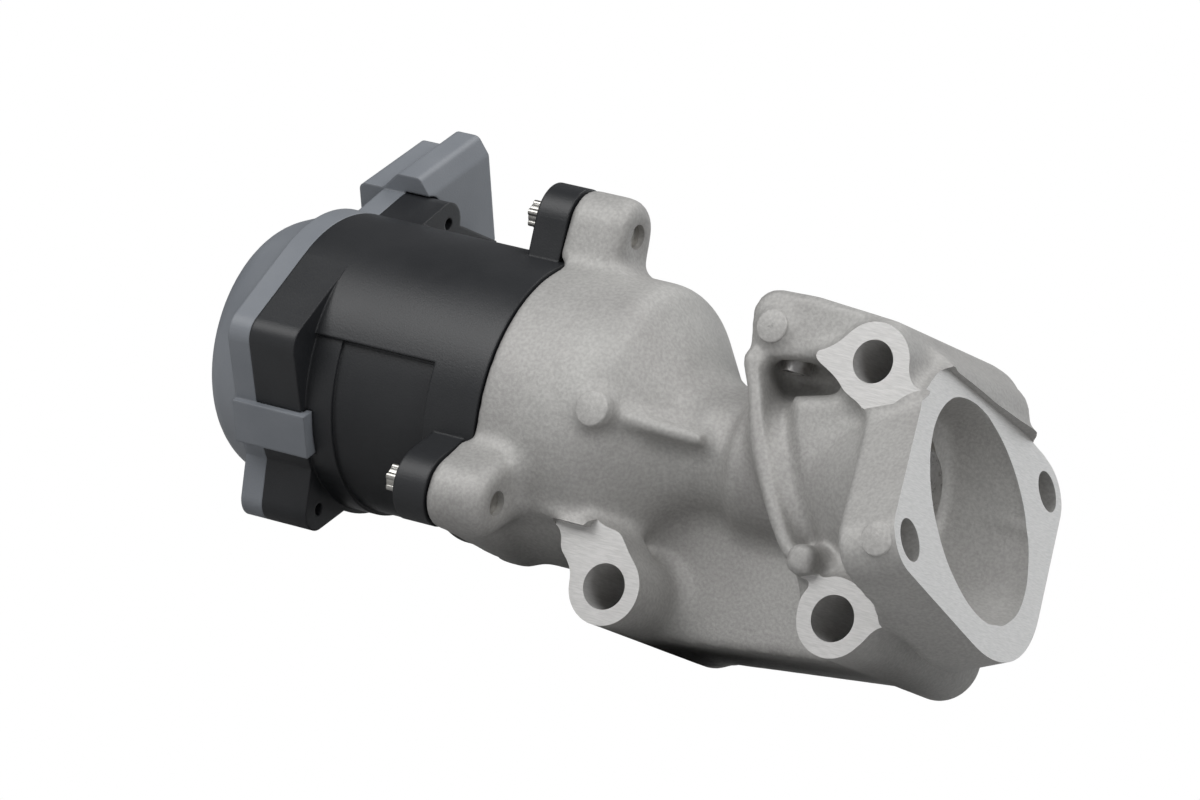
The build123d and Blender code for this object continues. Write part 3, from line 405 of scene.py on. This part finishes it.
def tool(name, shapes):
    """One object from closed shapes."""
    points, faces = [], []
    for more, sides in shapes:
        faces += [tuple(index + len(points) for index in side) for side in sides]
        points += [tuple(point) for point in more]
    mesh = bpy.data.meshes.new(name)
    mesh.from_pydata(points, [], faces)
    work = bmesh.new()
    work.from_mesh(mesh)
    bmesh.ops.recalc_face_normals(work, faces=work.faces)
    work.to_mesh(mesh)
    work.free()
    return linked(name, mesh)


def boss_bores():
    """Centre on the axis, as x and z in millimetres from the joint, and radius of each boss bore."""
    bores = []
    for name in BOSS_BORES:
        offset = (Vector(MOUNTS[name]["pos_m"]) - JOINT) / MM
        bores.append((offset.x, offset.z, MOUNTS[name]["dims"]["r_mm"]))
    return bores


def drills(wider, boss_ends, outlet_ends, ear_ends):
    """Cylinders along the bolt and screw holes, from one end to the other, wider than the holes."""
    made = []
    for x, z, radius in boss_bores():
        made.append(drum(at(x, boss_ends[0], z), at(x, boss_ends[1], z), radius + wider))
    side, up = OUTLET_HOLE_PLACE
    for sign in (-1, 1):
        ends = [in_outlet(out, sign * side, sign * up) for out in outlet_ends]
        made.append(drum(*ends, OUTLET_HOLE + wider))
    for angle in EAR_ANGLES:
        y, z = EAR_REACH * cos(radians(angle)), EAR_REACH * sin(radians(angle))
        made.append(drum(at(ear_ends[0], y, z), at(ear_ends[1], y, z), EAR_HOLE + wider))
    return made


def hollows():
    """Spaces inside the casting that no fillet grows into, each a little larger than its bore."""
    turned = ((-8, 29.8, 0, 29.8), (-1, 27.4, 21.5, 27.4), (21.3, 27.4, 32.5, 15.0), (30, 9.0, 38, 9.0))
    turned += ((35, 6.4, 58, 6.4), (50.5, 13.3, 72.5, 13.3), (71, 14.1, 79, 14.1))
    shapes = [drum(at(start, 0, 0), at(end, 0, 0), near, far) for start, near, end, far in turned]
    shapes.append(drum(at(77.5, 0, 0), in_outlet(8, 0, 0), 18.2, 24.6, OUTLET_AXIS))
    shapes.append(drum(at(61.5, 2, 0), at(61.5, 36, 0), 11.4))
    x, y, radius = PLUG
    shapes.append(drum(at(x, y, 12), at(x, y, 21), radius + HOLLOW_MARGIN))
    return shapes + drills(HOLLOW_MARGIN, (-27, 36), (8, -28), (-6, 14))


def details():
    """Spaces round the ejector marks and the neck ribs, which have only small fillets."""
    shapes = []
    for x, z, radius, front in (*MARKS, NUB):
        shapes.append(drum(at(x, front - 6, z), at(x, front + 9, z), radius + 2.8))
    for near, far in ((-28.0, -12.4), (12.4, 28.0)):
        corners = [(23.5, -4.5), (23.5, 4.5), (45.0, 4.5), (45.0, -4.5)]
        shapes.append(prism([at(x, near, z) for x, z in corners], [at(x, far, z) for x, z in corners]))
    return shapes


class Rounding:
    """Geometry nodes that work on a solid as a grid of distances to its surface."""

    def __init__(self, name):
        self.tree = bpy.data.node_groups.new(name, "GeometryNodeTree")
        for way in ("INPUT", "OUTPUT"):
            self.tree.interface.new_socket("Geometry", in_out=way, socket_type="NodeSocketGeometry")
        self.start = self.tree.nodes.new("NodeGroupInput").outputs[0]

    def grid(self, surface, reach=0.0):
        node = self.tree.nodes.new("GeometryNodeMeshToSDFGrid")
        node.inputs["Voxel Size"].default_value = VOXEL
        node.inputs["Band Width"].default_value = int(abs(reach) / VOXEL) + 3
        self.tree.links.new(surface, node.inputs["Mesh"])
        return node.outputs[0]

    def surface(self, grid, level=0.0):
        node = self.tree.nodes.new("GeometryNodeGridToMesh")
        node.inputs["Threshold"].default_value = level
        self.tree.links.new(grid, node.inputs["Grid"])
        return node.outputs[0]

    def moved(self, surface, *distances):
        """Surface moved out by each distance in turn, or in where it is negative."""
        for distance in distances:
            surface = self.surface(self.grid(surface, distance), distance)
        return surface

    def less(self, first, second):
        node = self.tree.nodes.new("GeometryNodeSDFGridBoolean")
        node.operation = "DIFFERENCE"
        self.tree.links.new(self.grid(first), node.inputs[0])
        self.tree.links.new(self.grid(second), node.inputs[1])
        return self.surface(node.outputs[0])

    def joined(self, first, second):
        node = self.tree.nodes.new("GeometryNodeSDFGridBoolean")
        node.operation = "UNION"
        self.tree.links.new(self.grid(first), node.inputs[1])
        self.tree.links.new(self.grid(second), node.inputs[1])
        return self.surface(node.outputs[0])

    def other(self, thing):
        node = self.tree.nodes.new("GeometryNodeObjectInfo")
        node.inputs["Object"].default_value = thing
        return node.outputs["Geometry"]

    def filleted(self, surface, radius, spared):
        """Surface with a fillet in every hollow corner, outside the spared spaces."""
        return self.joined(self.less(self.moved(surface, radius, -radius), self.other(spared)), surface)

    def end(self, surface):
        self.tree.links.new(surface, self.tree.nodes.new("NodeGroupOutput").inputs[0])


def points_of(mesh):
    places = np.zeros(len(mesh.vertices) * 3)
    mesh.vertices.foreach_get("co", places)
    return places.reshape(-1, 3)


def machined_planes():
    """Point and normal of the mounting face, the outlet face and the boss faces."""
    faces = [MOUNTS[name] for name in ("mounting_face", "outlet_face")]
    planes = [(Vector(face["pos_m"]), Vector(face["axis"])) for face in faces]
    return planes + [(at(0, BOSS_FACE, 0), Vector((0.0, -1.0, 0.0)))]


def with_allowance(source):
    """Copy of the casting's mesh that stands proud of its machined faces."""
    mesh = source.copy()
    places = points_of(mesh)
    for point, normal in machined_planes():
        height = (places - np.array(point)) @ np.array(normal)
        places[np.abs(height) < TOLERANCE] += np.array(normal) * ALLOWANCE
    mesh.vertices.foreach_set("co", places.ravel())
    mesh.update()
    return mesh


def applied(piece):
    """Puts the result of a piece's modifiers in its mesh."""
    graph = bpy.context.evaluated_depsgraph_get()
    mesh = bpy.data.meshes.new_from_object(piece.evaluated_get(graph))
    piece.modifiers.clear()
    piece.data = mesh


def cut(piece, cutter):
    modifier = piece.modifiers.new("cut", "BOOLEAN")
    modifier.operation = "DIFFERENCE"
    modifier.solver = "EXACT"
    modifier.object = cutter
    applied(piece)


def outline_on(mesh, point, normal):
    """Longest outline, in order, of the flat faces that lie on a plane."""
    work = bmesh.new()
    work.from_mesh(mesh)
    bmesh.ops.remove_doubles(work, verts=work.verts, dist=0.1 * TOLERANCE)
    low = {vert for vert in work.verts if abs((vert.co - point).dot(normal)) < TOLERANCE}
    flat = {face for face in work.faces if low.issuperset(face.verts)}
    onward = {}
    for face in flat:
        for loop in face.loops:
            if sum(near in flat for near in loop.edge.link_faces) == 1:
                onward[loop.vert.co.copy().freeze()] = loop.link_loop_next.vert.co.copy().freeze()
    work.free()
    outlines = []
    while onward:
        place, place_after = onward.popitem()
        outline = [place]
        while place_after in onward:
            outline.append(place_after)
            place_after = onward.pop(place_after)
        outlines.append(outline)
    return max(outlines, key=lambda outline: sum((b - a).length for a, b in zip(outline, outline[1:])))


def swept_hull(places, reach):
    """Convex shape round points and the same points moved by a vector."""
    work = bmesh.new()
    for place in places:
        work.verts.new(place)
        work.verts.new(place + reach)
    result = bmesh.ops.convex_hull(work, input=work.verts)
    loose = result["geom_interior"] + result["geom_unused"]
    spare = {item for item in loose if isinstance(item, bmesh.types.BMVert)}
    bmesh.ops.delete(work, geom=list(spare), context="VERTS")
    work.verts.index_update()
    points = [vert.co.copy() for vert in work.verts]
    faces = [tuple(vert.index for vert in face.verts) for face in work.faces]
    work.free()
    return points, faces


def allowances():
    """Shapes the cutter clears: on the mounting and outlet faces, and in front of the bosses.

    Parts of the casting stand beyond every one of these planes, so each cut keeps to its own face.
    """
    outlines = []
    for point, normal in machined_planes()[:2]:
        outline = outline_on(NODES["valve_housing"].data, point, normal)
        outline = [corner - normal * (corner - point).dot(normal) for corner in outline]
        middle = sum(outline, Vector()) / len(outline)
        outlines.append([corner + (corner - middle) * OVERCUT for corner in outline])
    mounting, outlet = outlines
    away = machined_planes()[0][1] * CUT_REACH * MM
    shapes = [prism(mounting, [corner + away for corner in mounting])]
    shapes.append(swept_hull(outlet, OUTLET_AXIS * CUT_REACH * MM))
    for zone in FACED:
        near = [at(x, BOSS_FACE, z) for x, z in zone]
        shapes.append(prism(near, [at(x, BOSS_FACE - CUT_REACH, z) for x, z in zone]))
    return shapes


def dress_casting(mesh):
    """As-cast metal, with machined metal on the cut planes and in the bores."""
    mesh.materials.clear()
    mesh.materials.append(cast_metal())
    mesh.materials.append(machined_metal())
    centres = np.zeros(len(mesh.polygons) * 3)
    normals = np.zeros(len(mesh.polygons) * 3)
    mesh.polygons.foreach_get("center", centres)
    mesh.polygons.foreach_get("normal", normals)
    centres, normals = centres.reshape(-1, 3), normals.reshape(-1, 3)
    machined = np.zeros(len(centres), bool)
    for point, normal in machined_planes():
        height = (centres - np.array(point)) @ np.array(normal)
        machined |= (np.abs(height) < TOLERANCE) & (normals @ np.array(normal) > 0.999)
    for x, z, radius in boss_bores():
        centre = at(x, 0, z)
        reach = np.hypot(centres[:, 0] - centre.x, centres[:, 2] - centre.z)
        machined |= np.abs(reach / MM - radius) < 0.1
    mesh.polygons.foreach_set("material_index", machined.astype(int))
    mesh.polygons.foreach_set("use_smooth", np.ones(len(centres), bool))
    mesh.update()
    mesh.set_sharp_from_angle(angle=radians(SMOOTH_UNDER))


def casting():
    """The valve housing with rounded as-cast edges and corners, and crisp machined faces and bores."""
    spared = tool("spared", hollows() + details())
    bores = tool("bores", hollows())
    fills = tool("fills", drills(STOCK, (-24, 33), (4, FLANGE_BACK + 0.4), (-1.6, EAR_END - 0.4)))
    through = tool("through", drills(0.0, (-30, 38), (12, -30), (-16, 24)))
    cutter = tool("cutter", allowances())
    steps = Rounding("as_cast")
    body = steps.filleted(steps.start, FILLET, spared)
    body = steps.filleted(body, SMALL_FILLET, bores)
    steps.end(steps.moved(steps.joined(body, steps.other(fills)), -ROUNDING, ROUNDING))
    piece = linked("casting", with_allowance(NODES["valve_housing"].data))
    piece.modifiers.new("as_cast", "NODES").node_group = steps.tree
    applied(piece)
    cut(piece, through)
    cut(piece, cutter)
    dress_casting(piece.data)
    for thing in (spared, bores, fills, through, cutter):
        bpy.data.objects.remove(thing)
    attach(piece, "housing")
    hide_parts("valve_housing")


def ejector_marks():
    """Round marks left by the mould's ejector pins, with a lightly rounded edge."""
    points, faces = [], []
    for x, z, radius, front in (*MARKS, NUB):
        edge = min(0.35, radius * 0.4)
        profile = (
            (front, radius - edge),
            (front + edge * 0.3, radius - edge * 0.3),
            (front + edge, radius),
            (front + MARK_DEPTH, radius),
        )
        first = len(points)
        for y, reach in profile:
            points += [tuple(point) for point in ring(at(x, y, z), Vector((0.0, 1.0, 0.0)), reach)]
        for level in range(len(profile) - 1):
            low = first + level * RING_POINTS
            for index in range(RING_POINTS):
                step = (index + 1) % RING_POINTS
                faces.append((low + index, low + step, low + RING_POINTS + step, low + RING_POINTS + index))
        faces.append(tuple(reversed(range(first, first + RING_POINTS))))
    mesh = bpy.data.meshes.new("ejector_marks")
    mesh.from_pydata(points, [], faces)
    mesh.materials.append(cast_metal("mark_metal", 1.08))
    for face in mesh.polygons:
        face.use_smooth = True
    mesh.set_sharp_from_angle(angle=radians(50))
    piece = linked("ejector_marks", mesh)
    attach(piece, "housing")


def closing_spring():
    """The return spring, as a copy with its own mesh, carried by the housing."""
    piece = linked("closing_spring", NODES["return_spring"].data.copy())
    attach(piece, "housing")
    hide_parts("return_spring")
    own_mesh(piece)


def camera():
    data = bpy.data.cameras.new("camera")
    data.lens = CAMERA_LENS
    data.sensor_width = SENSOR_WIDTH
    data.clip_end = 20
    place = bpy.data.objects.new("camera", data)
    right, up = Vector(CAMERA_RIGHT), Vector(CAMERA_UP)
    toward = right.cross(up)
    turn = np.array([right, up, toward]).T
    place.rotation_mode = "QUATERNION"
    place.rotation_quaternion = Matrix(turn.tolist()).to_quaternion()
    place.location = CAMERA_PLACE
    bpy.context.scene.collection.objects.link(place)
    bpy.context.scene.camera = place


def area_lamp(name, place, target, size, power, colour=(1.0, 1.0, 1.0)):
    data = bpy.data.lights.new(name, "AREA")
    data.shape = "RECTANGLE"
    data.size, data.size_y = size
    data.energy = power
    data.color = colour
    lamp = bpy.data.objects.new(name, data)
    lamp.location = place
    lamp.rotation_mode = "QUATERNION"
    lamp.rotation_quaternion = (Vector(target) - Vector(place)).to_track_quat("-Z", "Y")
    bpy.context.scene.collection.objects.link(lamp)


def background_rays(tree):
    """Share of light that goes to the camera, straight or through glass."""
    path = tree.nodes.new("ShaderNodeLightPath")
    either = tree.nodes.new("ShaderNodeMath")
    either.operation = "MAXIMUM"
    tree.links.new(path.outputs["Is Camera Ray"], either.inputs[0])
    tree.links.new(path.outputs["Is Transmission Ray"], either.inputs[1])
    return either.outputs[0]


def world():
    made = bpy.data.worlds.new("studio")
    bpy.context.scene.world = made
    made.use_nodes = True
    tree = made.node_tree
    tree.nodes.clear()
    output = tree.nodes.new("ShaderNodeOutputWorld")
    seen = tree.nodes.new("ShaderNodeBackground")
    seen.inputs["Color"].default_value = (1, 1, 1, 1)
    felt = tree.nodes.new("ShaderNodeBackground")
    felt.inputs["Color"].default_value = (0.95, 0.97, 1.0, 1)
    felt.inputs["Strength"].default_value = 0.13
    mix = tree.nodes.new("ShaderNodeMixShader")
    tree.links.new(background_rays(tree), mix.inputs["Fac"])
    tree.links.new(felt.outputs[0], mix.inputs[1])
    tree.links.new(seen.outputs[0], mix.inputs[2])
    tree.links.new(mix.outputs[0], output.inputs["Surface"])


def floor():
    """Pale floor under the valve; it is clear from below, because the camera stands lower than it."""
    half = 3.0
    level = CAD_LOW.z - 1.0 * MM
    centre = (CAD_LOW + CAD_HIGH) / 2
    mesh = bpy.data.meshes.new("floor")
    corners = [(-half, -half), (half, -half), (half, half), (-half, half)]
    mesh.from_pydata([(centre.x + x, centre.y + y, level) for x, y in corners], [], [(0, 1, 2, 3)])
    piece = bpy.data.objects.new("floor", mesh)
    bpy.context.scene.collection.objects.link(piece)
    made, tree, shader = new_material("floor")
    shader.inputs["Base Color"].default_value = (0.45, 0.45, 0.45, 1)
    shader.inputs["Roughness"].default_value = 0.8
    clear = tree.nodes.new("ShaderNodeBsdfTransparent")
    side = tree.nodes.new("ShaderNodeNewGeometry")
    mix = tree.nodes.new("ShaderNodeMixShader")
    output = next(node for node in tree.nodes if node.type == "OUTPUT_MATERIAL")
    tree.links.new(side.outputs["Backfacing"], mix.inputs["Fac"])
    tree.links.new(shader.outputs["BSDF"], mix.inputs[1])
    tree.links.new(clear.outputs[0], mix.inputs[2])
    tree.links.new(mix.outputs[0], output.inputs["Surface"])
    mesh.materials.append(made)


def lights():
    middle = (CAD_LOW + CAD_HIGH) / 2
    area_lamp("key", (-0.50, -0.95, 0.65), middle, (1.0, 0.8), 10)
    area_lamp("fill", (0.90, -0.60, 0.75), middle, (0.7, 0.7), 9)
    area_lamp("top", (0.1, 0.25, 1.0), middle, (1.0, 0.6), 4.5)
    area_lamp("back", (0.36, 1.05, 0.45), middle, (0.9, 0.6), 2.0, (0.95, 0.98, 1.0))


dress_nodes()
casting()
ejector_marks()
closing_spring()
camera()
world()
floor()
lights()
bpy.context.scene.view_settings.view_transform = "Standard"
